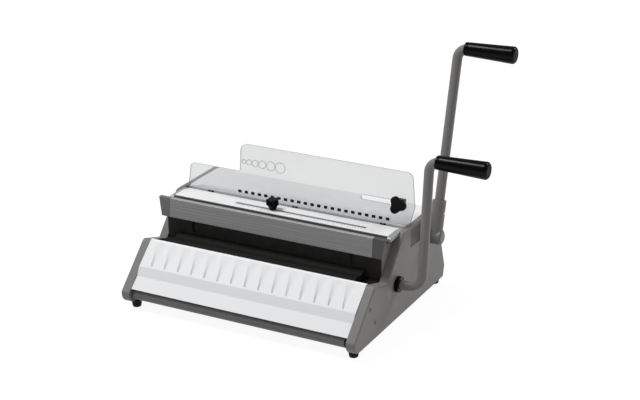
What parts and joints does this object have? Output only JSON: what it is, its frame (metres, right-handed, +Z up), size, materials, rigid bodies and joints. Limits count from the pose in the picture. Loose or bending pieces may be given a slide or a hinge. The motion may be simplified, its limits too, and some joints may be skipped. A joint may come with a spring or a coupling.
{
  "type": "manual wire binding machine",
  "caption": "Desk wire binding machine with a lever punch, a lever wire closer, a fluted front cover, a clear paper support and a chip drawer.",
  "frame": {"origin": "middle of the footprint over all parts, levers and grips included, at the bottom of the feet", "axes": "+X to the operator's right, +Y to the back, +Z up"},
  "size_m": [0.58, 0.3608, 0.4401],
  "materials": {
    "frame_paint": "satin",
    "white_panel": "satin",
    "bar_paint": "brushed satin",
    "lever_paint": "satin",
    "black_oxide": "matte",
    "steel": "brushed",
    "black_plastic": "gloss",
    "clear_sheet": "gloss",
    "rubber": "matte",
    "drawer_profile": "satin",
    "tray_plastic": "matte"
  },
  "bodies": {
    "machine": {"base_pan": "frame_paint", "left_side_frame": "frame_paint", "right_side_frame": "frame_paint", "front_cover": "white_panel", "work_table": "white_panel", "table_ends": "frame_paint", "top_cover": "white_panel", "rear_cover": "frame_paint", "closing_anvil": "black_oxide", "mouth_back_plate": "black_oxide", "mouth_cheeks": "frame_paint", "paper_sheet": "clear_sheet", "sheet_rail": "white_panel", "sheet_screws": "steel", "rubber_feet": "rubber", "cross_bars": "steel", "frame_screws": "frame_paint", "side_recess_panel": "frame_paint", "closing_bushes": "black_plastic", "punch_bushes": "black_plastic", "bar_guides": "steel", "die_plate": "steel", "pin_guide_plate": "steel", "throat_floor": "steel", "ram_rails": "steel", "drawer_runners": "steel"},
    "closing_lever": {"closing_shaft": "steel", "closing_cranks": "steel", "closing_rod": "lever_paint", "closing_grip": "black_plastic"},
    "closing_bar": {"closing_bar": "bar_paint", "bar_end_caps": "bar_paint", "closing_arms": "black_oxide"},
    "punch_lever": {"punch_shaft": "steel", "punch_eccentrics": "steel", "punch_hub": "lever_paint", "punch_tube": "lever_paint", "punch_grip": "black_plastic", "punch_cross_pin": "steel", "hub_cap": "lever_paint"},
    "punch_ram": {"punch_ram": "steel", "ram_yokes": "steel", "punch_pins": "steel"},
    "size_slider": {"size_slider": "black_plastic"},
    "size_knob": {"size_knob": "black_plastic"},
    "side_stop": {"side_stop": "black_plastic"},
    "side_stop_knob": {"side_stop_knob": "black_plastic"},
    "chip_drawer": {"drawer_tray": "tray_plastic", "drawer_front": "drawer_profile", "drawer_end_caps": "black_plastic"}
  },
  "joints": [
    {"name": "closing_lever_turn", "type": "hinge", "parent": "machine", "child": "closing_lever", "pos_m": [-0.07175, -0.02591, 0.076], "axis": [1, 0, 0], "range_deg": [0, 75], "stiffness_Nm_per_rad": 1, "springref_deg": -17.19},
    {"name": "closing_bar_travel", "type": "slide", "parent": "machine", "child": "closing_bar", "axis": [0, 0, -1], "range_m": [0, 0.02402]},
    {"name": "punch_lever_turn", "type": "hinge", "parent": "machine", "child": "punch_lever", "pos_m": [-0.07175, 0.08959, 0.1195], "axis": [1, 0, 0], "range_deg": [0, 70]},
    {"name": "punch_ram_travel", "type": "slide", "parent": "machine", "child": "punch_ram", "axis": [0, -1, 0], "range_m": [0, 0.00861]},
    {"name": "size_slide", "type": "slide", "parent": "machine", "child": "size_slider", "axis": [1, 0, 0], "range_m": [-0.068, 0.172]},
    {"name": "size_knob_turn", "type": "hinge", "parent": "size_slider", "child": "size_knob", "pos_m": [-0.09075, -0.01341, 0.165], "axis": [0, 0, 1], "range_deg": [-90, 90]},
    {"name": "side_stop_slide", "type": "slide", "parent": "machine", "child": "side_stop", "axis": [1, 0, 0], "range_m": [-0.0665, 0.0047]},
    {"name": "side_stop_knob_turn", "type": "hinge", "parent": "side_stop", "child": "side_stop_knob", "pos_m": [0.12425, 0.02634, 0.19318], "axis": [0, -0.9962, 0.0872], "range_deg": [-90, 90]},
    {"name": "chip_drawer_slide", "type": "slide", "parent": "machine", "child": "chip_drawer", "axis": [0, -1, 0], "range_m": [0, 0.18]}
  ],
  "couplings": [
    {"joint": "closing_bar_travel", "follows": "closing_lever_turn", "m_per_rad": 0.018334},
    {"joint": "punch_ram_travel", "follows": "punch_lever_turn", "m_per_rad": 0.007042}
  ]
}
